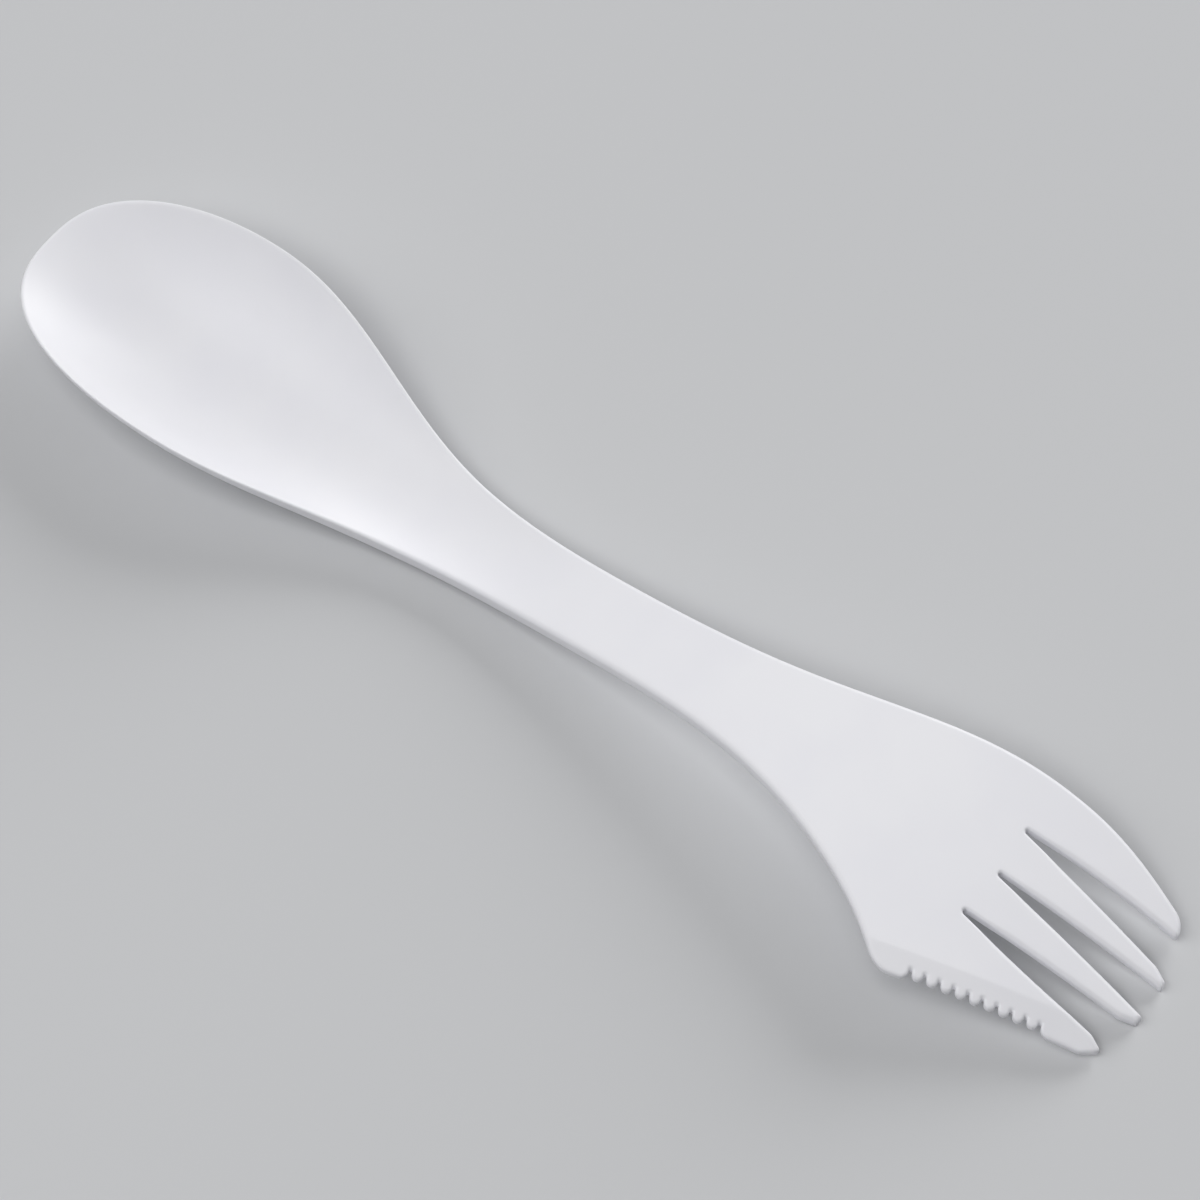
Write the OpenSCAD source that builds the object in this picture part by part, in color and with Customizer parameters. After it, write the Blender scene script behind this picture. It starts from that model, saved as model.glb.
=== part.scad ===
// Moulded plastic spork: a spoon bowl at one end, a four-tined fork at the other,
// and a serrated cutting edge along the outer side of the first tine.
// It lies on a table as it is photographed: bowl up, +X towards the fork,
// -Y the side with the cutting edge, Z = 0 the table under the bowl and the tine tips.

/* [Whole spork] */
// Length from the tip of the bowl to the front of the fork
length = 170; // [155:1:190]
// Radius of the rounding along the outer edge
edge_r = 0.6; // [0.3:0.1:1.2]

/* [Bowl] */
// Width of the bowl at its widest
bowl_w = 31.5; // [28:0.5:36]
// Distance from the tip of the bowl to its widest and deepest place
bowl_l = 26; // [22:0.5:30]
// Height of the rim above the table at the widest place
rim_h = 11.1; // [9:0.1:13]
// How much lower the rim is at the tip of the bowl
tip_drop = 2.7; // [1:0.1:4]
// Thickness of the bowl's floor
floor_t = 1.5; // [1.2:0.1:2]
// Thickness of the rim beside the widest place
rim_t = 1.7; // [1.3:0.1:2.2]
// Thickness of the rim at the tip of the bowl
tip_rim_t = 1.2; // [1:0.1:1.6]
// Distance behind the widest place over which the hollow runs out into the handle
hollow_l = 46; // [40:1:50]
// Distance behind the widest place over which the rim thickens to the handle
thicken_l = 33; // [28:1:40]

/* [Handle] */
// Width of the handle at its narrowest
waist_w = 10.8; // [9:0.1:13]
// Thickness of the handle
waist_t = 2.4; // [2:0.1:3.4]
// Distance from the tip of the bowl to the lowest place of the handle's top
dip_l = 66; // [62:0.5:72]
// Height of the handle's top there
dip_h = 4.3; // [4:0.1:6]
// Distance over which the handle swells to the bowl
bowl_swell_l = 28.4; // [25:0.2:31]
// Distance over which it swells to the fork
fork_swell_l = 28.2; // [25:0.2:31]

/* [Fork] */
// Width of the fork, taken twice from the axis to the side without the cutting edge
fork_w = 28.3; // [25:0.1:32]
// Distance from the front of the fork to its widest place
fork_l = 20.5; // [18:0.5:23]
// Distance over which the side falls away ahead of that place
fork_front_l = 24; // [21:0.5:28]
// Distance from the front of the fork to the highest place of the arch
crest_l = 47; // [43:0.5:51]
// Height of the arch's top
crest_h = 11.4; // [10:0.1:13]
// Thickness of the palm and the tines
tine_t = 1.7; // [1.4:0.1:2.2]
// Distance ahead of the handle's lowest place from which the palm thins
palm_l = 47; // [38:1:48]
// Radius of the arc on which the tine tips end
front_r = 21.5; // [18:0.5:26]
// How far the middle of that arc lies towards the cutting edge
front_shift = 0.6; // [0:0.1:1.2]

/* [Gaps between the tines] */
// Length of the gaps, from the front of the fork
gap_l = 22.4; // [19:0.2:25]
// Distance between the gaps at their roots
gap_step = 6.5; // [6.1:0.1:6.8]
// Width of the round root of a gap
gap_root_w = 0.8; // [0.6:0.1:1.2]
// Width of the middle gap and of the one beside the cutting edge at the front
gap_mouth_w = 4.4; // [3.6:0.1:4.8]
// Width of the gap on the other side at the front
far_mouth_w = 4.9; // [3.7:0.1:5.3]
// How much longer the two outer gaps are than the middle one
outer_gap_more = 0.6; // [0:0.1:1.5]
// How far the outer gaps lean towards the axis at the front
gap_lean = 0.45; // [0:0.05:0.6]
// How far the outermost side of each outer gap bows out halfway
gap_bow = 0.3; // [0:0.05:0.4]
// Length of the slanted cut beside the tips of the two inner tines, from the front of the fork
tip_cut_l = 2.2; // [1.5:0.1:3.2]
// The same for both sides of the tine with the cutting edge
first_cut_l = 3.0; // [2.4:0.1:3.6]
// Angle of these slanted cuts
tip_cut_angle = 23; // [15:1:28]

/* [Cutting edge] */
// Distance from the front of the fork back to the corner where the edge starts
heel_l = 25.5; // [24:0.5:27]
// Distance of that corner from the axis
heel_w = 18.3; // [17:0.1:20]
// Angle of the cutting edge to the axis
blade_angle = 18.7; // [17:0.1:20]
// Rounding of the corner where the edge starts
heel_round = 2.4; // [0.8:0.1:3]
// Distance from the corner back to where the fork starts to flare towards it
flare_l = 33.5; // [28:0.5:37]
// How far the flare would reach beyond the fork's even outline at the corner
flare_w = 6.6; // [5.2:0.1:8]
// Width of the bevel that thins the tine to the cutting edge
bevel_w = 3.0; // [2.4:0.1:3.6]
// How much wider the bevel is at the tine's tip than at the corner
bevel_growth = 0.7; // [0:0.1:1]
// Thickness left at the cutting edge
blade_t = 1.05; // [0.6:0.05:1.2]
// Number of notches in the cutting edge
notches = 10; // [6:1:11]
// Distance between the notches
notch_step = 1.78; // [1.6:0.02:1.9]
// Depth of a notch below the lobes beside it
notch_d = 1.1; // [0.9:0.1:1.4]
// Width of a notch at its root; the lobes between the notches are round
notch_w = 0.4; // [0.3:0.05:0.6]
// How far the lobes stay back from the straight end of the edge
lobe_inset = 0.3; // [0:0.05:0.5]
// Distance from the corner to the first notch
notch_from = 2.5; // [2:0.1:3.4]

/* [Hidden] */

tip_x = -length / 2;
front_x = length / 2;
bowl_x = tip_x + bowl_l;
dip_x = tip_x + dip_l;
crest_x = front_x - crest_l;
fork_x = front_x - fork_l;
heel_x = front_x - heel_l;
flare_x = heel_x - flare_l;
palm_x = dip_x + palm_l;

// Shape of the swells, of the bowl's plan at its tip and of its hollow
swell_power = 2.2;
tip_power = 2.6;
hollow_power = 2.2;
run_out_power = 6;
// The arch falls to the tine tips along a curve close to a parabola
arch_power = 1.85;
// The palm reaches its full thinness this far behind the fork's widest place
thin_end = 10;
// Power of the flare, which rises slowly at first and steeply at the corner
flare_power = 4.6;
// A rounding takes at most this share of the edge's thickness
round_share = 0.45;

function ease(u) = let (v = min(max(u, 0), 1)) v * v * (3 - 2 * v);
function bell(d, reach) = exp(-pow(abs(d) / reach, swell_power));
function soft_min(a, b, k) = min(a, b) - pow(max(k - abs(a - b), 0), 2) / (4 * k);
function blend(a, b, u) = a + (b - a) * u;

// Length at the very tip over which the width stays the same, so that the tip has an end face
tip_flat = 0.1;

// Half width of the bowl ahead of its widest place, a superellipse
function bowl_tip_half(x) =
    let (u = min((bowl_x - x) / bowl_l, 1 - tip_flat / bowl_l))
    bowl_w / 2 * pow(1 - u * u, 1 / tip_power);

// Half width on the side without the cutting edge: two swells on a narrow waist
function far_half(x) =
    x < bowl_x ? bowl_tip_half(x)
    : waist_w / 2
        + (bowl_w - waist_w) / 2 * bell(x - bowl_x, bowl_swell_l)
        + (fork_w - waist_w) / 2 * bell(x - fork_x, x < fork_x ? fork_swell_l : fork_front_l);

// Half width of the straight line of the cutting edge
function blade_half(x) = heel_w - (x - heel_x) * tan(blade_angle);

// Half width on the side with the cutting edge: the same curve, flared out to the corner
function near_half(x) =
    let (flare = flare_w * pow(max(x - flare_x, 0) / flare_l, flare_power))
    x < flare_x ? far_half(x) : soft_min(far_half(x) + flare, blade_half(x), heel_round);

// Half width of the crease where the bevel starts
function crease_half(x) =
    blade_half(x) - (bevel_w + bevel_growth * (x - heel_x) / heel_l) / cos(blade_angle);

// Height of the top edge, seen from the side: rim, dip, arch and tine tips
function edge_top(x) =
    x < bowl_x ? rim_h - tip_drop * pow((bowl_x - x) / bowl_l, 2)
    : x < dip_x ? blend(rim_h, dip_h, ease((x - bowl_x) / (dip_x - bowl_x)))
    : x < crest_x ? blend(dip_h, crest_h, ease((x - dip_x) / (crest_x - dip_x)))
    : blend(crest_h, tine_t, pow((x - crest_x) / crest_l, arch_power));

// Thickness along the outer edge and on the axis
function edge_thick(x) =
    x < bowl_x ? blend(rim_t, tip_rim_t, (bowl_x - x) / bowl_l)
    : x < dip_x ? blend(rim_t, waist_t, ease((x - bowl_x) / thicken_l))
    : blend(waist_t, tine_t, ease((x - palm_x) / (fork_x - thin_end - palm_x)));
function axis_thick(x) =
    x < bowl_x ? blend(floor_t, tip_rim_t, (bowl_x - x) / bowl_l)
    : x < dip_x ? blend(floor_t, waist_t, ease((x - bowl_x) / (dip_x - bowl_x)))
    : edge_thick(x);

// Depth of the hollow on the axis. Its full depth at the widest place leaves just the floor
// above the table, and it runs out towards the tip and towards the handle.
function hollow_share(x) =
    x < bowl_x ? 1 - pow((bowl_x - x) / bowl_l, hollow_power)
    : exp(-pow((x - bowl_x) / hollow_l, run_out_power));
function hollow(x) = (edge_top(x) - axis_thick(x)) * hollow_share(x);

// Share of the bevel's full depth at a point; y is negative on the cutting edge's side
function bevel_share(x, y) =
    x < flare_x ? 0
    : max(0, (-y - crease_half(x)) / (blade_half(x) - crease_half(x)));
function bevel_drop(x, y) = (tine_t - blade_t) * min(bevel_share(x, y), 1);

// Upper and lower surface before the edges are rounded; v is the share of the half width
function thick(x, v) = blend(axis_thick(x), edge_thick(x), v * v);
function sag(x, v) = hollow(x) * (1 - pow(abs(v), hollow_power));
function upper(x, y, v) = edge_top(x) - sag(x, v) - bevel_drop(x, y);
function lower(x, y, v) = edge_top(x) - sag(x, v) - thick(x, v);

// Height that a rounding of radius r takes away at distance d from the edge
function rounding(d, r) = d >= r ? 0 : r - sqrt(r * r - (r - d) * (r - d));

// The same points across each section, from the cutting edge's side (-1) to the other (1):
// close together in the two edge zones and evenly spread between them
zone_steps = 5;
middle_steps = 14;
// An edge zone is at most this share of the half width
zone_share = 0.4;
function across(x) =
    let (
        near = near_half(x),
        far = far_half(x),
        near_zone = min(max(near - crease_half(x), edge_r), near * zone_share),
        far_zone = min(edge_r, far * zone_share)
    )
    concat(
        [for (i = [0 : zone_steps - 1]) -near + near_zone * pow(i / zone_steps, 2)],
        [for (i = [0 : middle_steps]) blend(-near + near_zone, far - far_zone, i / middle_steps)],
        [for (i = [zone_steps - 1 : -1 : 0]) far - far_zone * pow(i / zone_steps, 2)]
    );

// Slope of the outline over a short step, from which the true distance to it follows
slope_step = 0.05;
function spread(x) =
    let (slope = (far_half(x + slope_step) - far_half(x)) / slope_step) sqrt(1 + slope * slope);

function section(x) =
    let (
        near = near_half(x),
        far = far_half(x),
        lean = spread(x),
        row = across(x),
        near_r = min(edge_r, round_share * (edge_thick(x) - bevel_drop(x, -near))),
        far_r = min(edge_r, round_share * edge_thick(x)),
        top = [for (y = row) let (
            v = y < 0 ? y / near : y / far,
            r = y < 0 ? near_r : far_r,
            d = min(x - tip_x, (y < 0 ? near + y : far - y) / lean))
            [x, y, upper(x, y, v) - rounding(d, r)]],
        under = [for (y = row) let (
            v = y < 0 ? y / near : y / far,
            r = y < 0 ? near_r : far_r,
            d = min(x - tip_x, (y < 0 ? near + y : far - y) / lean))
            [x, y, lower(x, y, v) + rounding(d, r)]]
    )
    concat(top, [for (i = [len(row) - 1 : -1 : 0]) under[i]]);

// Places of the sections: closer together at the bowl's tip and at the corner of the edge.
// Each zone has its own number of steps; the corner's zone reaches a little way to both sides.
tip_zone = 15;
tip_steps = 13;
body_steps = 40;
heel_steps = 13;
fork_steps = 9;
heel_from = heel_x - 6;
heel_to = heel_x + 4;
stations = concat(
    [for (i = [0 : tip_steps - 1]) tip_x + tip_zone * pow(i / tip_steps, 2)],
    [for (i = [0 : body_steps - 1]) blend(tip_x + tip_zone, heel_from, i / body_steps)],
    [for (i = [0 : heel_steps - 1]) blend(heel_from, heel_to, i / heel_steps)],
    [for (i = [0 : fork_steps]) blend(heel_to, front_x, i / fork_steps)]
);

// Solid swept through the sections, in triangles; each end is closed by a strip
// between its upper and its lower points
module sheet() {
    rings = [for (x = stations) section(x)];
    n = len(rings[0]);
    last = (len(rings) - 1) * n;
    polyhedron(
        points = [for (ring = rings) each ring],
        faces = concat(
            [for (i = [0 : len(rings) - 2]) for (j = [0 : n - 1])
                let (a = i * n + j, b = i * n + (j + 1) % n)
                each [[a, b, a + n], [b, b + n, a + n]]],
            [for (j = [0 : n / 2 - 2]) let (a = j, b = n - 1 - j)
                each [[a, b, a + 1], [a + 1, b, b - 1]]],
            [for (j = [0 : n / 2 - 2]) let (a = last + j, b = last + n - 1 - j)
                each [[a, a + 1, b], [a + 1, b - 1, b]]]
        )
    );
}

// Room that every cut has above and below the solid
clear = 5;

module cut_through() {
    translate([0, 0, -clear]) linear_extrude(crest_h + rim_h + 2 * clear) children();
}

// Gap between two tines: a round root and two sides that open to the front.
// place is -1 beside the cutting edge, 0 in the middle and 1 on the other side.
bow_steps = 8;
module gap_plan(place) {
    root_r = gap_root_w / 2;
    root = [front_x - gap_l - abs(place) * outer_gap_more + root_r, place * gap_step];
    mouth = [front_x, place * (gap_step - gap_lean)];
    half = (place > 0 ? far_mouth_w : gap_mouth_w) / 2;
    // A side of the gap at x: dir is 1 on the side away from the axis and -1 on the other
    out = place < 0 ? -1 : 1;
    function wall(x, dir) =
        let (u = (x - root.x) / (mouth.x - root.x))
        blend(root.y, mouth.y, u) + dir * out * blend(root_r, half, u);
    // Each side ends in a slanted cut at the tip of its tine, where that tine has one
    outer_cut_l = place < 0 ? first_cut_l : 0;
    inner_cut_l = place == 0 ? 0 : tip_cut_l;
    outer_x = front_x - outer_cut_l;
    inner_x = front_x - inner_cut_l;
    outer_end = wall(outer_x, 1) + out * outer_cut_l * tan(tip_cut_angle);
    inner_end = wall(inner_x, -1) - out * inner_cut_l * tan(tip_cut_angle);
    translate(root) circle(root_r, $fn = 32);
    polygon(concat(
        [for (i = [0 : bow_steps]) let (u = i / bow_steps, x = blend(root.x, outer_x, u))
            [x, wall(x, 1) + place * gap_bow * sin(180 * u)]],
        [if (outer_cut_l > 0) [front_x, outer_end], [front_x + clear, outer_end]],
        [[front_x + clear, inner_end], if (inner_cut_l > 0) [front_x, inner_end]],
        [[inner_x, wall(inner_x, -1)], [root.x, wall(root.x, -1)]]
    ));
}

// Everything ahead of the arc on which the tine tips end, and the corner of the first tine,
// which is cut off at the end of the cutting edge. The inner tines' tips reach front_x.
module front_plan() {
    back = front_x - fork_l;
    arc_x = front_x - sqrt(pow(front_r, 2) - pow(gap_mouth_w / 2 - front_shift, 2));
    corner_x = front_x - first_cut_l;
    difference() {
        translate([back, -heel_w]) square([fork_l + clear, 2 * heel_w]);
        translate([arc_x, -front_shift]) circle(front_r, $fn = 96);
    }
    translate([corner_x, -blade_half(corner_x)]) rotate(blade_angle + tip_cut_angle)
        translate([0, -clear]) square(clear);
}

// Outline of one notch, with its mouth on the X axis and its root towards +Y. The lobes
// beside it are round, so its sides are quarter circles that run into a narrow slit with a
// round root. Its last point is left to the next notch.
quarter = [0 : 18 : 90];
function notch_outline(x) =
    let (lobe_r = (notch_step - notch_w) / 2, root_r = notch_w / 2)
    concat(
        [for (a = quarter) [x - notch_step / 2 + lobe_r * sin(a), lobe_r * (1 - cos(a))]],
        [for (a = [180 : -30 : 0]) [x + root_r * cos(a), notch_d - root_r + root_r * sin(a)]],
        [for (a = quarter) if (a < 90) [x + notch_step / 2 - lobe_r * cos(a), lobe_r * (1 - sin(a))]]
    );

// The row of notches along the edge, with a short ramp down to the lobes at each end
module notch_row() {
    row_l = (notches - 1) * notch_step;
    ramp_x = notch_step / 2 + lobe_inset;
    translate([heel_x, -heel_w]) rotate(blade_angle) translate([notch_from, lobe_inset])
        polygon(concat(
            [[-ramp_x, -clear], [-ramp_x, -lobe_inset]],
            [for (i = [0 : notches - 1]) each notch_outline(i * notch_step)],
            [[row_l + notch_step / 2, 0], [row_l + ramp_x, -lobe_inset], [row_l + ramp_x, -clear]]
        ));
}

// The axis lies a little off the middle, so that the spork is centred over its whole width
centre_y = (max([for (x = stations) near_half(x)]) - max([for (x = stations) far_half(x)])) / 2;

module spork_body() {
    color("whitesmoke") translate([0, centre_y, 0]) difference() {
        sheet();
        for (place = [-1 : 1]) cut_through() gap_plan(place);
        cut_through() front_plan();
        cut_through() notch_row();
    }
}

spork_body();
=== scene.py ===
import bpy
import numpy as np
from mathutils import Matrix, Vector, geometry


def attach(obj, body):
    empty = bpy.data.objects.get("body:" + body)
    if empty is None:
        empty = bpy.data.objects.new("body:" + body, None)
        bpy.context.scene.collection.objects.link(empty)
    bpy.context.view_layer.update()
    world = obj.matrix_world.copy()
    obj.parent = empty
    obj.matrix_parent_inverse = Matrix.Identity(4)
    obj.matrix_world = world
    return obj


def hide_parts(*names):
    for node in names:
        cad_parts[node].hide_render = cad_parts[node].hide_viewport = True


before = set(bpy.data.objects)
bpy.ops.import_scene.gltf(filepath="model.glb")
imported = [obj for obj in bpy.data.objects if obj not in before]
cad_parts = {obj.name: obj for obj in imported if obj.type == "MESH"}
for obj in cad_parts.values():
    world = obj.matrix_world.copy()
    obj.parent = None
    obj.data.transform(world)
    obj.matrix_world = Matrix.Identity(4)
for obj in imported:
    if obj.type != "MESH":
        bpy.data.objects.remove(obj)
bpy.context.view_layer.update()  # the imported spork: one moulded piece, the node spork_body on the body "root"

# Shapes are worked out in millimetres and become metres when their mesh is made.
# X runs from the tip of the bowl to the tines, -Y is the side with the cutting edge.
mm = 0.001


def hexColor(code):
    # sRGB hex value to linear red, green, blue and full alpha
    c = np.array([int(code[i:i + 2], 16) for i in (1, 3, 5)]) / 255
    linear = np.where(c <= 0.04045, c / 12.92, ((c + 0.055) / 1.055) ** 2.4)
    return (*linear.tolist(), 1.0)


# The spork's outline in plan, its height and its thickness along the length, and its edges
spork = {
    "length": 170,
    "edgeR": 0.6,          # rounding along the edges
    "roundShare": 0.45,    # a rounding takes at most this share of the thickness
    "bladeRound": 0.25,    # the same at the cutting edge
    "bowlW": 31.5,
    "bowlL": 26,           # from the tip of the bowl to its widest and deepest place
    "tipPower": 2.6,       # the bowl's tip is a superellipse of this power
    "rimH": 11.1,          # height of the rim above the table
    "tipDrop": 2.7,        # the rim is this much lower at the tip
    "floorT": 1.5,         # thickness of the bowl's floor, of its rim and of the rim at its tip
    "rimT": 1.7,
    "tipRimT": 1.2,
    "hollowL": 46,         # the hollow runs out over this distance behind the widest place
    "hollowPower": 2.2,
    "runOutPower": 6,
    "thickenL": 33,        # the rim's thickness passes into the waist's over this distance
    "waistW": 10.8,
    "waistT": 2.4,
    "dipL": 66,            # from the tip of the bowl to the lowest place of the handle
    "dipH": 4.3,
    "bowlSwellL": 28.4,    # reach of the swells that widen the handle to the bowl and the fork
    "forkSwellL": 28.2,
    "forkFrontL": 24,      # reach of the fork's fall ahead of its widest place
    "swellPower": 2.2,
    "forkW": 28.3,
    "forkL": 20.5,         # from the front back to the fork's widest place
    "crestL": 47,          # from the front back to the top of the arch
    "crestH": 11.4,
    "archPower": 1.85,
    "tineT": 1.7,
    "palmL": 47,           # from the lowest place to where the fork starts to get thinner
    "thinEnd": 10,         # it has the tines' thickness this far behind its widest place
    "frontR": 21.5,        # arc on which the tips end
    "frontShift": 0.6,     # its middle lies this much towards the cutting edge
    "heelL": 25.5,         # from the front back to the corner where the cutting edge starts
    "heelW": 18.3,         # half width there
    "bladeAngle": 18.7,    # of the cutting edge to the axis
    "heelRound": 2.4,
    "flareL": 33.5,        # the near side flares out to that corner over this distance
    "flareW": 6.6,
    "flarePower": 4.6,
    "bevelW": 3.0,         # at the corner
    "bevelGrowth": 0.7,    # the bevel is this much wider at the tip
    "bladeT": 1.05,
    "creaseSoft": 0.03,    # share of the bevel over which its crease is rounded
}

tipX = -spork["length"] / 2
frontX = spork["length"] / 2
bowlX = tipX + spork["bowlL"]
dipX = tipX + spork["dipL"]
crestX = frontX - spork["crestL"]
forkX = frontX - spork["forkL"]
heelX = frontX - spork["heelL"]
flareX = heelX - spork["flareL"]
palmX = dipX + spork["palmL"]
bladeTurn = np.radians(spork["bladeAngle"])


def ease(u):
    # Smooth step from 0 to 1, level at both ends
    v = np.clip(u, 0, 1)
    return v * v * (3 - 2 * v)


def blend(a, b, u):
    # Straight from a at u = 0 to b at u = 1
    return a + (b - a) * u


def bell(d, reach):
    # exp(-(|d| / reach) ^ power): 1 at d = 0, falling away on both sides over the reach
    return np.exp(-(np.abs(d) / reach) ** spork["swellPower"])


def softMin(a, b, k):
    # The smaller of two curves, less (k - |a - b|)^2 / 4k where they are within k of each other
    return np.minimum(a, b) - np.maximum(k - np.abs(a - b), 0) ** 2 / (4 * k)


def farHalf(x):
    # Half width on the plain side: a superellipse at the bowl's tip, then two swells on a narrow
    # waist
    u = np.clip((bowlX - x) / spork["bowlL"], 0, 1)
    tip = spork["bowlW"] / 2 * (1 - u * u) ** (1 / spork["tipPower"])
    forkReach = np.where(x < forkX, spork["forkSwellL"], spork["forkFrontL"])
    swells = (spork["waistW"] / 2
              + (spork["bowlW"] - spork["waistW"]) / 2 * bell(x - bowlX, spork["bowlSwellL"])
              + (spork["forkW"] - spork["waistW"]) / 2 * bell(x - forkX, forkReach))
    return np.where(x < bowlX, tip, swells)


def bladeHalf(x):
    # Half width of the straight line of the cutting edge
    return spork["heelW"] - (x - heelX) * np.tan(bladeTurn)


def nearHalf(x):
    # Half width on the cutting side: the plain side's curve, flared out to the corner of the edge
    flare = spork["flareW"] * (np.maximum(x - flareX, 0) / spork["flareL"]) ** spork["flarePower"]
    flared = softMin(farHalf(x) + flare, bladeHalf(x), spork["heelRound"])
    return np.where(x < flareX, farHalf(x), flared)


def creaseHalf(x):
    # Half width of the line where the bevel starts
    width = spork["bevelW"] + spork["bevelGrowth"] * (x - heelX) / spork["heelL"]
    return bladeHalf(x) - width / np.cos(bladeTurn)


def edgeTop(x):
    # Height of the top edge seen from the side: rim, dip of the handle, arch, tips of the tines
    rim = spork["rimH"] - spork["tipDrop"] * (np.maximum(bowlX - x, 0) / spork["bowlL"]) ** 2
    down = blend(spork["rimH"], spork["dipH"], ease((x - bowlX) / (dipX - bowlX)))
    up = blend(spork["dipH"], spork["crestH"], ease((x - dipX) / (crestX - dipX)))
    fall = (np.maximum(x - crestX, 0) / spork["crestL"]) ** spork["archPower"]
    tines = blend(spork["crestH"], spork["tineT"], fall)
    return np.select([x < bowlX, x < dipX, x < crestX], [rim, down, up], tines)


def edgeThick(x):
    # Thickness along the outer edge
    tip = blend(spork["rimT"], spork["tipRimT"], (bowlX - x) / spork["bowlL"])
    rim = blend(spork["rimT"], spork["waistT"], ease((x - bowlX) / spork["thickenL"]))
    thinned = ease((x - palmX) / (forkX - spork["thinEnd"] - palmX))
    fork = blend(spork["waistT"], spork["tineT"], thinned)
    return np.select([x < bowlX, x < dipX], [tip, rim], fork)


def axisThick(x):
    # Thickness on the axis, where the bowl has its floor
    tip = blend(spork["floorT"], spork["tipRimT"], (bowlX - x) / spork["bowlL"])
    floor = blend(spork["floorT"], spork["waistT"], ease((x - bowlX) / (dipX - bowlX)))
    return np.select([x < bowlX, x < dipX], [tip, floor], edgeThick(x))


def hollow(x):
    # Depth of the hollow on the axis: just the floor is left above the table at the widest place
    toTip = 1 - (np.clip(bowlX - x, 0, spork["bowlL"]) / spork["bowlL"]) ** spork["hollowPower"]
    toHandle = np.exp(-(np.maximum(x - bowlX, 0) / spork["hollowL"]) ** spork["runOutPower"])
    return (edgeTop(x) - axisThick(x)) * np.where(x < bowlX, toTip, toHandle)


def bevelDrop(x, y):
    # How much the bevel lowers the top: nothing up to the crease, then evenly to the cutting edge
    share = (-y - creaseHalf(x)) / (bladeHalf(x) - creaseHalf(x))
    share = -softMin(-share, 0 * share, spork["creaseSoft"])
    return np.where(x < flareX, 0, (spork["tineT"] - spork["bladeT"]) * share)


def thickness(x, y):
    # Thickness at a point before the bevel, and the share of the half width at which it lies
    v = np.minimum(np.abs(y) / np.where(y < 0, nearHalf(x), farHalf(x)), 1)
    return blend(axisThick(x), edgeThick(x), v ** 2), v


def edgeRound(x, y, full, drop):
    # Radius of the rounded edges. Round the roots of the gaps it is smaller, by exp(-x^4 - y^8)
    # with x and y counted in reaches. It is held to a share of the thickness, a smaller share
    # where the bevel has its full depth.
    rootX = frontX - gaps["length"]
    atRoots = np.exp(-((x - rootX) / gaps["rootReach"]) ** 4 - (y / gaps["rootSpan"]) ** 8)
    r = blend(spork["edgeR"], gaps["rootEdgeR"], atRoots)
    fullBevel = np.clip(drop / (spork["tineT"] - spork["bladeT"]), 0, 1)
    share = blend(spork["roundShare"], spork["bladeRound"], fullBevel)
    return np.minimum(r, share * (full - drop))


def surfaces(x, y, d):
    # Heights of the top and the underside at distance d from the outline. Across the spork the
    # height is the edge's less the hollow, which is deepest on the axis; both edges are rounded.
    full, v = thickness(x, y)
    middle = edgeTop(x) - hollow(x) * (1 - v ** spork["hollowPower"])
    drop = bevelDrop(x, y)
    r = edgeRound(x, y, full, drop)
    inside = np.clip(r - d, 0, r)
    taken = r - np.sqrt(r * r - inside * inside)
    return middle - drop - taken, middle - full + taken


# The gaps between the tines and the slanted cuts at their tips
gaps = {
    "length": 22.4,        # from the front back to the middle root
    "step": 6.5,
    "rootW": 0.7,
    "rootEdgeR": 0.35,     # the edges are less rounded round the roots
    "rootReach": 4,        # half length and half width of the place where they are
    "rootSpan": 9.5,
    "mouthW": 4.2,
    "farMouthW": 4.65,
    "outerMore": 0.6,      # the outer gaps are this much longer
    "lean": 0.45,          # and their mouths lie this much further in than their roots
    "bow": 0.3,            # the outermost of the gaps' sides bow outwards by this much
    "tipMore": 0.3,        # rounded off, the tips would fall short of the arc by this much
    "tipCut": 1.8,         # lengths of the slanted cuts at the inner tips and at the first one
    "firstCut": 3.0,
    "cutAngle": 23,
    "cutReach": 4,         # the cut's line is drawn this long, to pass the arc
}

# The notches of the cutting edge, measured along it from its corner
notches = {
    "count": 10,
    "step": 1.78,
    "depth": 0.92,
    "rootW": 0.36,
    "inset": 0.35,         # the lobes stand back from the edge's line by this much
    "from": 2.5,           # middle of the first slit
}

# How finely the outline is divided and how much its corners are softened, in millimetres
detail = {
    "plainStep": 0.42,
    "wallStep": 0.3,
    "rootStep": 0.12,
    "tipStep": 0.1,
    "notchStep": 0.07,
    "tipSoft": 0.3,
    "farTipSoft": 1.1,
    "notchSoft": 0.06,
    "fine": 0.02,          # walking step along the outline while it is softened
    "stepMix": 25,         # walking steps over which one spacing passes into the next
    "overlap": 200,        # walking steps by which the closed line runs over its own ends
    "roundSteps": 6,       # rings of points over each rounded edge
    "moreRings": (1.3, 1.75),  # and more behind it, in radii
    "ringKept": 0.97,      # rings lose points nearer to the outline than this share of their offset
    "grid": 0.8,           # spacing of the points inside, and their rows to each side
    "gridRows": 24,
    "bevelGrid": 0.45,     # spacing along the bevel; its rows lie at shares of its width
    "bevelRows": (-0.18, -0.09, -0.03, 0, 0.03, 0.09, 0.19, 0.32, 0.48, 0.64),
    "bevelEnd": -0.2,      # beside the bevel the even grid ends at this share of its width
    "bevelStart": 4,       # the rows start this far behind the corner
    "ringClear": 0.3,      # share of the bevel's spacing by which all these stay off the last ring
    "least": 1e-5,         # points of the plan nearer than this count as one
    "doubled": 1e-6,       # and so do neighbours on the outline nearer than this
}

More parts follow.
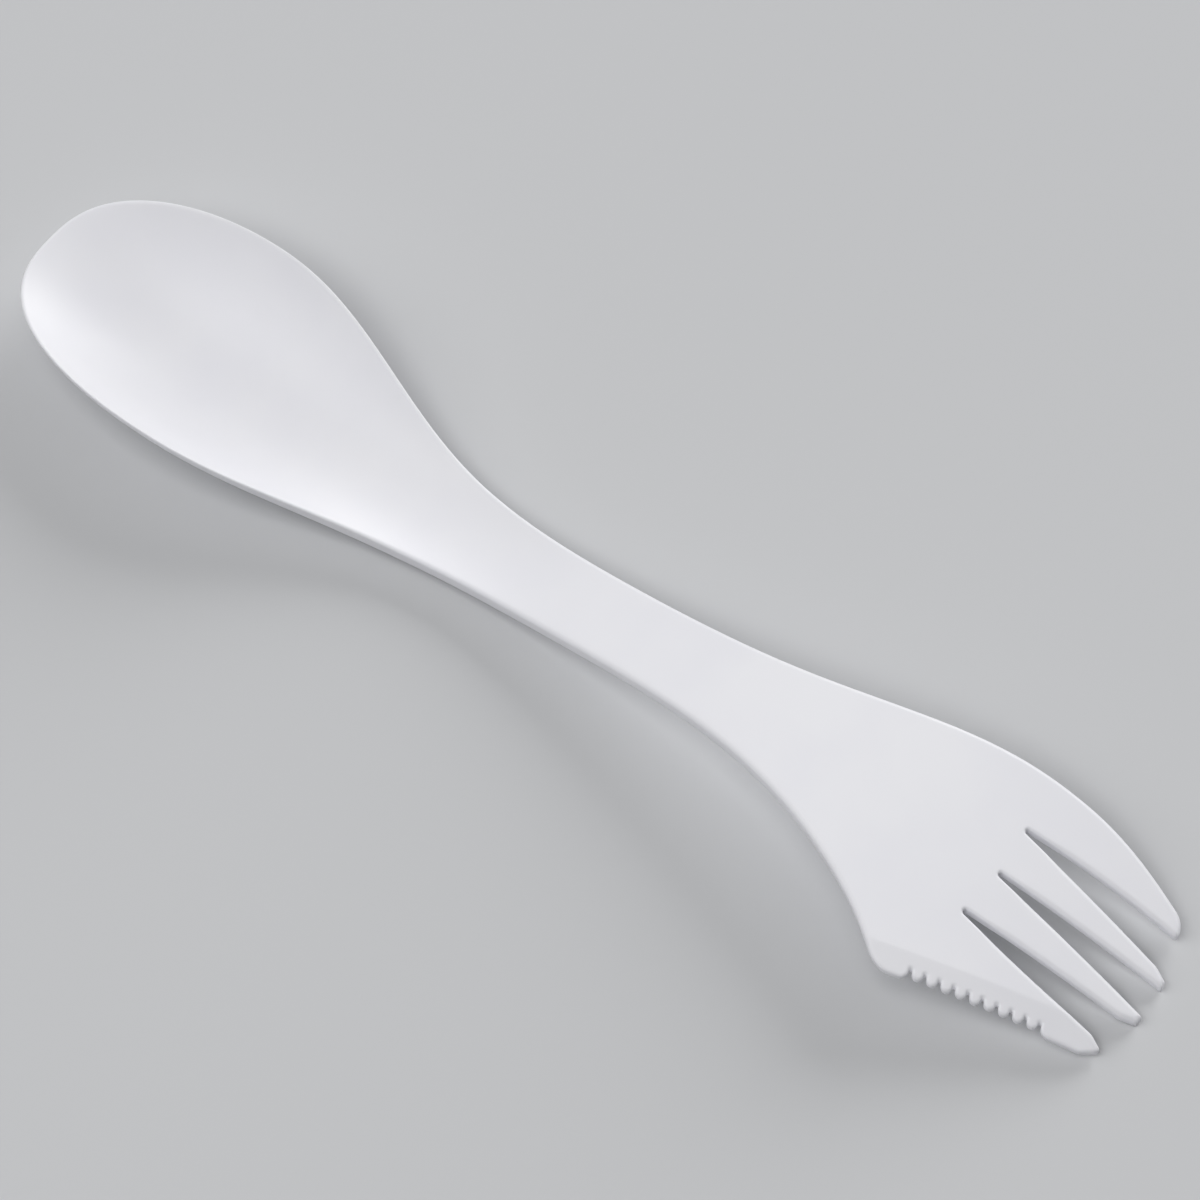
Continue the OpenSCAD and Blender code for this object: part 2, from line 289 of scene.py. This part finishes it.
# Number of points on each curve before the outline is divided evenly
samples = {
    "bowlTip": 160,
    "nearSide": 1200,
    "farSide": 1000,
    "lastTine": 400,
    "gapSide": 60,
    "gapRoot": 24,
    "tipCut": 80,
    "tipArc": 20,
    "lobe": 12,
    "slit": 9,
    "halfWidths": 2000,
}


def stretch(x, y, step, soft, side):
    # A stretch of the outline: points with their spacing, corner softening and side number
    n = len(x)
    return np.column_stack([x, y, np.full(n, step), np.full(n, soft), np.full(n, side)])


def frontArc(y):
    # X of the arc on which the tips end; the inner tines' tips reach the front
    reach = gaps["mouthW"] / 2 - spork["frontShift"]
    arcX = frontX + gaps["tipMore"] - np.sqrt(spork["frontR"] ** 2 - reach ** 2)
    return arcX + np.sqrt(spork["frontR"] ** 2 - (y + spork["frontShift"]) ** 2)


def cutAtArc(x, y):
    # The points of a line up to the place where it passes the arc, which becomes its last point
    past = x - frontArc(y)
    i = int(np.argmax(past > 0))
    u = past[i - 1] / (past[i - 1] - past[i])
    return (np.append(x[:i], blend(x[i - 1], x[i], u)),
            np.append(y[:i], blend(y[i - 1], y[i], u)))


def rootCentre(place):
    # X of the middle of the half circle at the root of a gap
    return frontX - gaps["length"] - abs(place) * gaps["outerMore"] + gaps["rootW"] / 2


def gapSide(place, up):
    # One side of a gap from its round root to the arc. place is -1 beside the cutting edge, 0 in
    # the middle and 1 on the other side; up is 1 for the side with the larger Y, -1 for the other.
    # The side runs straight from root to mouth, the outermost ones bow out, and some end in a cut.
    outer = place != 0 and up == place
    cut = 0
    if outer and place < 0:
        cut = gaps["firstCut"]
    if place != 0 and not outer:
        cut = gaps["tipCut"]
    rootX = rootCentre(place)
    mouthR = (gaps["farMouthW"] if place > 0 else gaps["mouthW"]) / 2
    x = np.linspace(rootX, frontX - cut, samples["gapSide"])
    u = (x - rootX) / (frontX - rootX)
    middle = place * blend(gaps["step"], gaps["step"] - gaps["lean"], u)
    bow = outer * place * gaps["bow"] * np.sin(np.pi * (x - rootX) / (frontX - cut - rootX))
    y = middle + up * blend(gaps["rootW"] / 2, mouthR, u) + bow
    slant = cut * np.tan(np.radians(gaps["cutAngle"]))
    beyond = np.array([frontX, frontX + 1]) if cut else np.array([frontX + 1])
    x = np.append(x, beyond)
    y = np.append(y, np.full(len(beyond), y[-1] + up * slant))
    return cutAtArc(x, y)


def gapRoot(place):
    # Half circle round the root of a gap, from the side with the smaller Y to the other
    turn = np.linspace(-np.pi / 2, -3 * np.pi / 2, samples["gapRoot"])
    rootR = gaps["rootW"] / 2
    return rootCentre(place) + rootR * np.cos(turn), place * gaps["step"] + rootR * np.sin(turn)


def bladePoint(along, inward):
    # A place given along the cutting edge from its corner and square to it, in plan coordinates
    return (heelX + along * np.cos(bladeTurn) - inward * np.sin(bladeTurn),
            -spork["heelW"] + along * np.sin(bladeTurn) + inward * np.cos(bladeTurn))


def notchRow():
    # The notched line: slits with round roots, and between them lobes of two quarter circles;
    # a larger quarter circle leads in from the edge's straight line and another leads out to it
    lobeR = (notches["step"] - notches["rootW"]) / 2
    rootR = notches["rootW"] / 2
    endR = lobeR + notches["inset"]
    a = np.linspace(0, np.pi / 2, samples["lobe"])
    b = np.linspace(np.pi, 0, samples["slit"])
    into = np.array([lobeR * (np.sin(a) - 1) - rootR, lobeR * (1 - np.cos(a))])
    root = np.array([rootR * np.cos(b), notches["depth"] - rootR + rootR * np.sin(b)])
    outOf = np.array([-into[0, ::-1], into[1, ::-1]])[:, :-1]
    one = np.hstack([into, root, outOf])
    starts = np.arange(notches["count"]) * notches["step"]
    along = (starts[:, None] + one[0]).ravel()
    inward = np.tile(one[1], notches["count"])
    n = len(a)
    along[:n] = endR * (np.sin(a) - 1) - rootR
    inward[:n] = lobeR - endR * np.cos(a)
    leadOut = starts[-1] + rootR + endR * (1 - np.cos(a))
    along = np.concatenate([along[:-outOf.shape[1]], leadOut])
    inward = np.concatenate([inward[:-outOf.shape[1]], lobeR - endR * np.sin(a)])
    return bladePoint(along + notches["from"], inward + notches["inset"])


def sharpOutline():
    # The whole outline anticlockwise from the bowl's tip: cutting side, tips and gaps, plain side.
    # Side 0 is the outer edge, and 1, 2 and 3 are the gaps from the cutting edge outwards.
    t = np.linspace(np.pi / 2, 0, samples["bowlTip"])
    capX = bowlX - spork["bowlL"] * np.sin(t)
    capY = spork["bowlW"] / 2 * np.cos(t) ** (2 / spork["tipPower"])
    rampX = heelX + (notches["from"] - notches["step"] / 2 - notches["inset"]) * np.cos(bladeTurn)
    nearX = np.linspace(bowlX, rampX, samples["nearSide"])[1:]
    rowX, rowY = notchRow()
    cornerX = frontX - gaps["firstCut"]
    cutTurn = np.radians(spork["bladeAngle"] + gaps["cutAngle"])
    reach = np.linspace(0, gaps["cutReach"], samples["tipCut"])
    cornerCut = cutAtArc(cornerX + reach * np.cos(cutTurn),
                         -bladeHalf(cornerX) + reach * np.sin(cutTurn))
    farX = np.linspace(forkX, frontX, samples["lastTine"])
    farEnd = cutAtArc(farX, farHalf(farX))
    parts = [
        stretch(capX, -capY, detail["plainStep"], 0, 0),
        stretch(nearX, -nearHalf(nearX), detail["plainStep"], 0, 0),
        stretch(rowX, rowY, detail["notchStep"], detail["notchSoft"], 0),
        stretch(*cornerCut, detail["tipStep"], detail["tipSoft"], 0),
    ]
    tipStart = (cornerCut[0][-1], cornerCut[1][-1])
    for place in (-1, 0, 1):
        lowX, lowY = gapSide(place, -1)
        highX, highY = gapSide(place, 1)
        tipY = np.linspace(tipStart[1], lowY[-1], samples["tipArc"])
        half = len(tipY) // 2
        side = place + 2
        highSoft = detail["farTipSoft" if place > 0 else "tipSoft"]
        tipX, soft = frontArc(tipY), detail["tipSoft"]
        parts += [
            stretch(tipX[:half], tipY[:half], detail["tipStep"], soft, side - 1),
            stretch(tipX[half:], tipY[half:], detail["tipStep"], soft, side),
            stretch(lowX[::-1], lowY[::-1], detail["wallStep"], soft, side),
            stretch(*gapRoot(place), detail["rootStep"], 0, side),
            stretch(highX, highY, detail["wallStep"], highSoft, side),
        ]
        tipStart = (highX[-1], highY[-1])
    tipY = np.linspace(tipStart[1], farEnd[1][-1], samples["tipArc"])
    parts += [
        stretch(frontArc(tipY), tipY, detail["tipStep"], detail["farTipSoft"], 3),
        stretch(farEnd[0][::-1], farEnd[1][::-1], detail["wallStep"], detail["farTipSoft"], 0),
    ]
    backX = np.linspace(forkX, bowlX, samples["farSide"])[1:]
    parts += [
        stretch(backX, farHalf(backX), detail["plainStep"], 0, 0),
        stretch(capX[::-1][1:-1], capY[::-1][1:-1], detail["plainStep"], 0, 0),
    ]
    line = np.vstack(parts)
    apart = np.hypot(*(line[:, :2] - np.roll(line[:, :2], 1, axis=0)).T)
    return line[apart > detail["doubled"]]


def around(values, width):
    # Moving average of values on a closed line; width is a whole number of samples each way
    total = np.cumsum(np.concatenate([values[-width:], values, values[:width]]))
    return (total[2 * width:] - total[:-2 * width]) / (2 * width)


def softOutline():
    # The outline with its corners softened: each point is the mean of the line over the local
    # softening to both sides, taken as the difference of the running sum at its two ends. The
    # points are then set out at the local spacing.
    line = sharpOutline()
    closed = np.vstack([line, line[:1]])
    s = np.concatenate([[0], np.cumsum(np.hypot(*np.diff(closed[:, :2], axis=0).T))])
    walk = np.arange(0, s[-1], detail["fine"])
    n = len(walk)
    xy = np.column_stack([np.interp(walk, s, closed[:, i]) for i in (0, 1)])
    step = around(np.interp(walk, s, closed[:, 2]), detail["stepMix"])
    soft = np.maximum(around(np.interp(walk, s, closed[:, 3]), detail["stepMix"]), detail["fine"])
    reach = detail["overlap"]
    padded = np.vstack([xy[-reach:], xy, xy[:reach]])
    area = np.vstack([[0, 0], np.cumsum((padded[1:] + padded[:-1]) / 2, axis=0)])
    place = np.arange(n) + reach
    wide = soft / detail["fine"]
    index = np.arange(len(padded))
    smooth = np.column_stack([
        (np.interp(place + wide, index, area[:, i])
         - np.interp(place - wide, index, area[:, i])) / (2 * wide)
        for i in (0, 1)])
    count = np.concatenate([[0], np.cumsum(detail["fine"] / step)])
    marks = np.arange(round(count[-1])) * count[-1] / round(count[-1])
    at = np.interp(marks, count, np.arange(n + 1))
    points = np.column_stack([np.interp(at, np.arange(n + 1), np.append(smooth[:, i], smooth[0, i]))
                              for i in (0, 1)])
    last = np.searchsorted(s, at * detail["fine"], side="right") - 1
    sides = line[np.clip(last, 0, len(line) - 1), 4]
    return points, sides.astype(int)


def distanceTo(points, starts, ends, reach=3.0, slab=2.0):
    # Distance from each point to the nearest chord from starts to ends, slab by slab along X.
    # Chords more than the reach away along X are left out, and a point with none gets 3 reaches.
    result = np.full(len(points), 3 * reach)
    low = np.minimum(starts[:, 0], ends[:, 0])
    high = np.maximum(starts[:, 0], ends[:, 0])
    for x in np.arange(points[:, 0].min(), points[:, 0].max() + slab, slab):
        rows = np.flatnonzero((points[:, 0] >= x) & (points[:, 0] < x + slab))
        near = (high > x - reach) & (low < x + slab + reach)
        if len(rows) and near.any():
            along = ends[near] - starts[near]
            off = points[rows, None, :] - starts[near][None]
            share = np.clip((off * along).sum(2) / (along ** 2).sum(1), 0, 1)
            off = off - share[..., None] * along
            result[rows] = np.minimum(result[rows], np.sqrt((off ** 2).sum(2).min(1)))
    return result


def edgeDistance(points, outline, sides):
    # Smooth distance to the edge: the distances to the outer edge and to each gap are joined by the
    # power mean d = (sum of d^-4)^(-1/4), so that a narrow tip gets a round back and no ridge
    following = np.roll(outline, -1, axis=0)
    inverse = np.zeros(len(points))
    for side in range(4):
        rows = sides == side
        d = distanceTo(points, outline[rows], following[rows])
        inverse += np.maximum(d, detail["least"]) ** -4
    return inverse ** -0.25


def isInside(points, outline):
    # Even-odd rule: a point is inside where a ray from it along +X crosses the outline an odd
    # number of times
    start = outline[None]
    along = np.roll(outline, -1, axis=0)[None] - start
    x, y = points[:, None, 0], points[:, None, 1]
    crossed = (start[..., 1] > y) != (start[..., 1] + along[..., 1] > y)
    level = np.where(along[..., 1] == 0, 1, along[..., 1])
    crossX = start[..., 0] + (y - start[..., 1]) * along[..., 0] / level
    return (crossed & (crossX > x)).sum(1) % 2 == 1


def planPoints(outline):
    # Points of the plan: the outline, rings that follow it over the rounded edge, a grid inside,
    # and rows along the crease of the bevel
    following = np.roll(outline, -1, axis=0)
    tangent = following - np.roll(outline, 1, axis=0)
    tangent /= np.hypot(*tangent.T)[:, None]
    inward = np.column_stack([-tangent[:, 1], tangent[:, 0]])
    x, y = outline.T
    r = edgeRound(x, y, thickness(x, y)[0], bevelDrop(x, y))
    turns = np.linspace(0, np.pi / 2, detail["roundSteps"] + 1)[1:]
    shares = np.concatenate([1 - np.cos(turns), detail["moreRings"]])
    rings = [outline]
    for share in shares:
        ring = outline + inward * (share * r)[:, None]
        rings.append(ring[distanceTo(ring, outline, following) > detail["ringKept"] * share * r])
    grid = detail["grid"]
    gx, row = np.meshgrid(np.arange(tipX, frontX, grid),
                          np.arange(-detail["gridRows"], detail["gridRows"]))
    # Every other row is moved by half a step, so that the triangles have equal sides
    inner = np.column_stack([(gx + (row % 2) * grid / 2).ravel(),
                             (row * grid * np.sqrt(0.75)).ravel()])
    crease = creaseHalf(inner[:, 0])
    share = (-inner[:, 1] - crease) / (bladeHalf(inner[:, 0]) - crease)
    rowStart = heelX - detail["bevelStart"]
    inner = inner[(share < detail["bevelEnd"]) | (inner[:, 0] < rowStart)]
    bx, across = np.meshgrid(np.arange(rowStart, frontX, detail["bevelGrid"]), detail["bevelRows"])
    by = -(creaseHalf(bx) + across * (bladeHalf(bx) - creaseHalf(bx)))
    inner = np.vstack([inner, np.column_stack([bx.ravel(), by.ravel()])])
    inner = inner[isInside(inner, outline)]
    lastRing = shares[-1] * edgeRound(*inner.T, thickness(*inner.T)[0], bevelDrop(*inner.T))
    clear = detail["ringClear"] * detail["bevelGrid"]
    kept = distanceTo(inner, outline, following) > lastRing + clear
    return np.vstack(rings + [inner[kept]])


def dividePlan(outline):
    # Triangles between the points of the plan, which come back with the outline's points first.
    # Some with all three corners on the outline lie outside it, as in the gaps, and are dropped.
    points = planPoints(outline)
    rim = len(outline)
    result = geometry.delaunay_2d_cdt(points.tolist(), [], [list(range(rim))], 0,
                                      detail["least"], True)
    # The first list holds the points and the third one the triangles
    plan = np.array([p[:] for p in result[0]])
    faces = np.array(result[2])
    doubtful = (faces < rim).all(1)
    doubtful[doubtful] = ~isInside(plan[faces[doubtful]].mean(1), plan[:rim])
    faces = faces[~doubtful]
    print(f"plan: {len(plan)} points, {rim} of them on the outline, {len(faces)} triangles")
    return plan, faces


def moveToRow():
    # The step in Y that brings the middle of the whole width to Y = 0: half the difference of the
    # greatest half widths, because the cutting side is the wider one
    x = np.linspace(tipX, frontX, samples["halfWidths"])
    return (nearHalf(x).max() - farHalf(x).max()) / 2


def makeMesh(name, points, faces):
    # A smooth mesh from points in millimetres and triangles
    mesh = bpy.data.meshes.new(name)
    mesh.vertices.add(len(points))
    mesh.vertices.foreach_set("co", (points * mm).ravel())
    mesh.loops.add(faces.size)
    mesh.loops.foreach_set("vertex_index", faces.ravel())
    mesh.polygons.add(len(faces))
    mesh.polygons.foreach_set("loop_start", np.arange(0, faces.size, 3))
    mesh.polygons.foreach_set("use_smooth", np.ones(len(faces), bool))
    mesh.update(calc_edges=True)
    mesh.validate()
    return mesh


def buildSpork():
    # The plan is divided into triangles once. The top and the underside are its points lifted to
    # their heights, and a wall of triangles joins them along the outline.
    outline, sides = softOutline()
    plan, faces = dividePlan(outline)
    n, rim = len(plan), len(outline)
    d = edgeDistance(plan, outline, sides)
    d[:rim] = 0
    x, y = plan.T
    top, under = surfaces(x, y, d)
    y = y + moveToRow()
    # Triangles that run clockwise, seen from above, are turned over
    a, b, c = faces.T
    turned = ((x[b] - x[a]) * (y[c] - y[a]) - (x[c] - x[a]) * (y[b] - y[a])) < 0
    faces[turned] = faces[turned][:, ::-1]
    i = np.arange(rim)
    j = np.roll(i, -1)
    wall = np.vstack([np.column_stack([i + n, j + n, j]), np.column_stack([i + n, j, i])])
    allFaces = np.vstack([faces, faces[:, ::-1] + n, wall])
    vertices = np.vstack([np.column_stack([x, y, top]), np.column_stack([x, y, under])])
    mesh = makeMesh("sporkMoulding", vertices, allFaces)
    edge = mesh.attributes.new("edgeDistance", "FLOAT", "POINT")
    edge.data.foreach_set("value", np.tile(d, 2).astype(np.float32))
    piece = bpy.data.objects.new("sporkMoulding", mesh)
    bpy.context.scene.collection.objects.link(piece)
    return piece


nodeSpacing = 200  # in the node editor


def addNode(tree, kind, place, settings=None, links=None):
    # Adds a node, sets its properties or input values by name and links its inputs, which are
    # given by name or number; place is its column and row in the editor
    node = tree.nodes.new(kind)
    node.location = (place[0] * nodeSpacing, place[1] * -nodeSpacing)
    for key, value in (settings or {}).items():
        if key in node.inputs:
            node.inputs[key].default_value = value
        else:
            setattr(node, key, value)
    for key, source in (links or {}).items():
        tree.links.new(source, node.inputs[key])
    return node


# Satin moulded plastic: how it looks, in hex colours and millimetres
plastic = {
    "light": "#ececf0",
    "shade": "#e9e9ee",
    "cloudSize": 14,
    "cloudDetail": 2.0,
    "cloudFrom": 0.35,     # the noise's values at which the shade and the light are full
    "cloudTo": 0.65,
    "grainSize": 0.28,     # the real grain is nearer 0.05 mm; drawn coarser so that it shows
    "grainDetail": 1.0,
    "grainHeight": 0.004,
    "roughness": 0.5,
    "edgeGloss": 0.06,     # handled edges are smoother by this much, over this width
    "edgeW": 1.2,
    "ior": 1.49,           # polypropylene
}


def satinPolypropylene():
    # White polypropylene, injection moulded against a satin steel tool: a soft even sheen, a very
    # fine grain, faint clouds of colour where it flowed, and a little more gloss on handled edges
    material = bpy.data.materials.new("satinPolypropylene")
    material.use_nodes = True
    tree = material.node_tree
    tree.nodes.clear()
    where = addNode(tree, "ShaderNodeTexCoord", (0, 0)).outputs["Object"]
    clouds = addNode(tree, "ShaderNodeTexNoise", (1, 0),
                     {"Scale": 1 / (plastic["cloudSize"] * mm), "Detail": plastic["cloudDetail"]},
                     {"Vector": where})
    color = addNode(tree, "ShaderNodeValToRGB", (2, 0), None, {"Fac": clouds.outputs["Fac"]})
    color.color_ramp.elements[0].position = plastic["cloudFrom"]
    color.color_ramp.elements[0].color = hexColor(plastic["shade"])
    color.color_ramp.elements[1].position = plastic["cloudTo"]
    color.color_ramp.elements[1].color = hexColor(plastic["light"])
    grain = addNode(tree, "ShaderNodeTexNoise", (1, 2),
                    {"Scale": 1 / (plastic["grainSize"] * mm), "Detail": plastic["grainDetail"]},
                    {"Vector": where})
    bump = addNode(tree, "ShaderNodeBump", (3, 2),
                   {"Strength": 1.0, "Distance": plastic["grainHeight"] * mm},
                   {"Height": grain.outputs["Fac"]})
    edge = addNode(tree, "ShaderNodeAttribute", (1, 1), {"attribute_name": "edgeDistance"})
    gloss = addNode(tree, "ShaderNodeMapRange", (2, 1),
                    {"From Min": 0.0, "From Max": plastic["edgeW"],
                     "To Min": plastic["roughness"] - plastic["edgeGloss"],
                     "To Max": plastic["roughness"]}, {"Value": edge.outputs["Fac"]})
    shader = addNode(tree, "ShaderNodeBsdfPrincipled", (4, 0),
                     {"IOR": plastic["ior"], "Metallic": 0.0},
                     {"Base Color": color.outputs["Color"], "Roughness": gloss.outputs["Result"],
                      "Normal": bump.outputs["Normal"]})
    addNode(tree, "ShaderNodeOutputMaterial", (5, 0), None, {"Surface": shader.outputs["BSDF"]})
    return material


print("shaping the spork")
body = buildSpork()
print("making its plastic")
body.data.materials.append(satinPolypropylene())
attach(body, "root")
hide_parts("spork_body")

# A wide pale tabletop and square soft boxes far out round it; distances in metres, powers in
# watts. The strongest light comes low from the plain side; the others fill from the bowl's corner
# and from above.
studio = {
    "floorColor": "#c9cacc",
    "floorSize": 4.0,
    "floorRoughness": 0.8,
    "world": "#ffffff",
    "worldLight": 0.03,
    "backdrop": "#c4c5c7",  # what is seen past the tabletop
    "lampDistance": 3.0,
    "lampSize": 2.0,
    "lamps": {             # azimuth from +X towards +Y, elevation, power
        "plainSideLamp": (90, 22, 70),
        "bowlCornerLamp": (225, 45, 26),
        "highLamp": (270, 68, 44),
        "farHighLamp": (45, 68, 4.5),
    },
}


def plainFloor():
    # Matt pale board under the spork, without gloss, so that the low lamp leaves no glare on it
    material = bpy.data.materials.new("paleBoard")
    material.use_nodes = True
    shader = material.node_tree.nodes["Principled BSDF"]
    shader.inputs["Base Color"].default_value = hexColor(studio["floorColor"])
    shader.inputs["Roughness"].default_value = studio["floorRoughness"]
    shader.inputs["Specular IOR Level"].default_value = 0.0
    half = studio["floorSize"] / 2
    corners = np.array([[-half, -half, 0], [half, -half, 0], [half, half, 0], [-half, half, 0]])
    mesh = bpy.data.meshes.new("floor")
    mesh.from_pydata(corners.tolist(), [], [(0, 1, 2, 3)])
    mesh.materials.append(material)
    floor = bpy.data.objects.new("floor", mesh)
    bpy.context.scene.collection.objects.link(floor)
    return floor


def softLamp(name, azimuth, elevation, power):
    # A square soft box on a half sphere round the origin and turned to it: its place is the lamp
    # distance along the direction with this azimuth and elevation
    az, el = np.radians([azimuth, elevation])
    toLamp = Vector((np.cos(az) * np.cos(el), np.sin(az) * np.cos(el), np.sin(el)))
    place = toLamp * studio["lampDistance"]
    lamp = bpy.data.lights.new(name, "AREA")
    lamp.energy = power
    lamp.shape = "SQUARE"
    lamp.size = studio["lampSize"]
    item = bpy.data.objects.new(name, lamp)
    item.location = place
    item.rotation_euler = (-place).to_track_quat("-Z", "Y").to_euler()
    bpy.context.scene.collection.objects.link(item)


def paleWorld(tree):
    # The world gives a little even light, and where it is seen or mirrored it is a pale backdrop
    tree.nodes.clear()
    path = addNode(tree, "ShaderNodeLightPath", (0, 0)).outputs
    direct = addNode(tree, "ShaderNodeMath", (1, 0), {"operation": "MAXIMUM"},
                     {0: path["Is Camera Ray"], 1: path["Is Glossy Ray"]})
    seen = addNode(tree, "ShaderNodeMath", (2, 0), {"operation": "MAXIMUM"},
                   {0: direct.outputs[0], 1: path["Is Transmission Ray"]})
    light = addNode(tree, "ShaderNodeBackground", (2, 1),
                    {"Color": hexColor(studio["world"]), "Strength": studio["worldLight"]})
    backdrop = addNode(tree, "ShaderNodeBackground", (2, 2),
                       {"Color": hexColor(studio["backdrop"]), "Strength": 1.0})
    mix = addNode(tree, "ShaderNodeMixShader", (3, 0), None,
                  {0: seen.outputs[0], 1: light.outputs[0], 2: backdrop.outputs[0]})
    addNode(tree, "ShaderNodeOutputWorld", (4, 0), None, {"Surface": mix.outputs[0]})


print("floor and lamps")
plainFloor()
for name, (azimuth, elevation, power) in studio["lamps"].items():
    softLamp(name, azimuth, elevation, power)
world = bpy.data.worlds.new("studioWorld")
world.use_nodes = True
paleWorld(world.node_tree)
bpy.context.scene.world = world

# The photograph's view: the camera's place follows from where it points and from which side
cameraView = {
    "lens": 135.42,        # millimetres, on a sensor of this width
    "sensor": 36,
    "nearest": 0.01,       # nothing nearer than this is drawn, in metres
    "azimuth": 37.344,
    "elevation": 61.688,
    "roll": -0.193,
    "distance": 0.56029,
    "target": (0.000154, 0.005658, 0.0),
}


def placeCamera():
    # The camera stands back from its target along the view direction and is turned by the roll
    az, el, roll = np.radians([cameraView[k] for k in ("azimuth", "elevation", "roll")])
    back = Vector((np.sin(az) * np.cos(el), -np.cos(az) * np.cos(el), np.sin(el)))
    right = Vector((0, 0, 1)).cross(back).normalized()
    up = back.cross(right)
    tiltedRight = np.cos(roll) * right + np.sin(roll) * up
    tiltedUp = np.cos(roll) * up - np.sin(roll) * right
    lens = bpy.data.cameras.new("camera")
    lens.lens = cameraView["lens"]
    lens.sensor_width = cameraView["sensor"]
    lens.clip_start = cameraView["nearest"]
    camera = bpy.data.objects.new("camera", lens)
    turn = Matrix((tiltedRight, tiltedUp, back)).transposed().to_4x4()
    place = Vector(cameraView["target"]) + back * cameraView["distance"]
    camera.matrix_world = Matrix.Translation(place) @ turn
    bpy.context.scene.collection.objects.link(camera)
    bpy.context.scene.camera = camera


print("placing the camera")
placeCamera()
bpy.context.scene.view_settings.view_transform = "Standard"
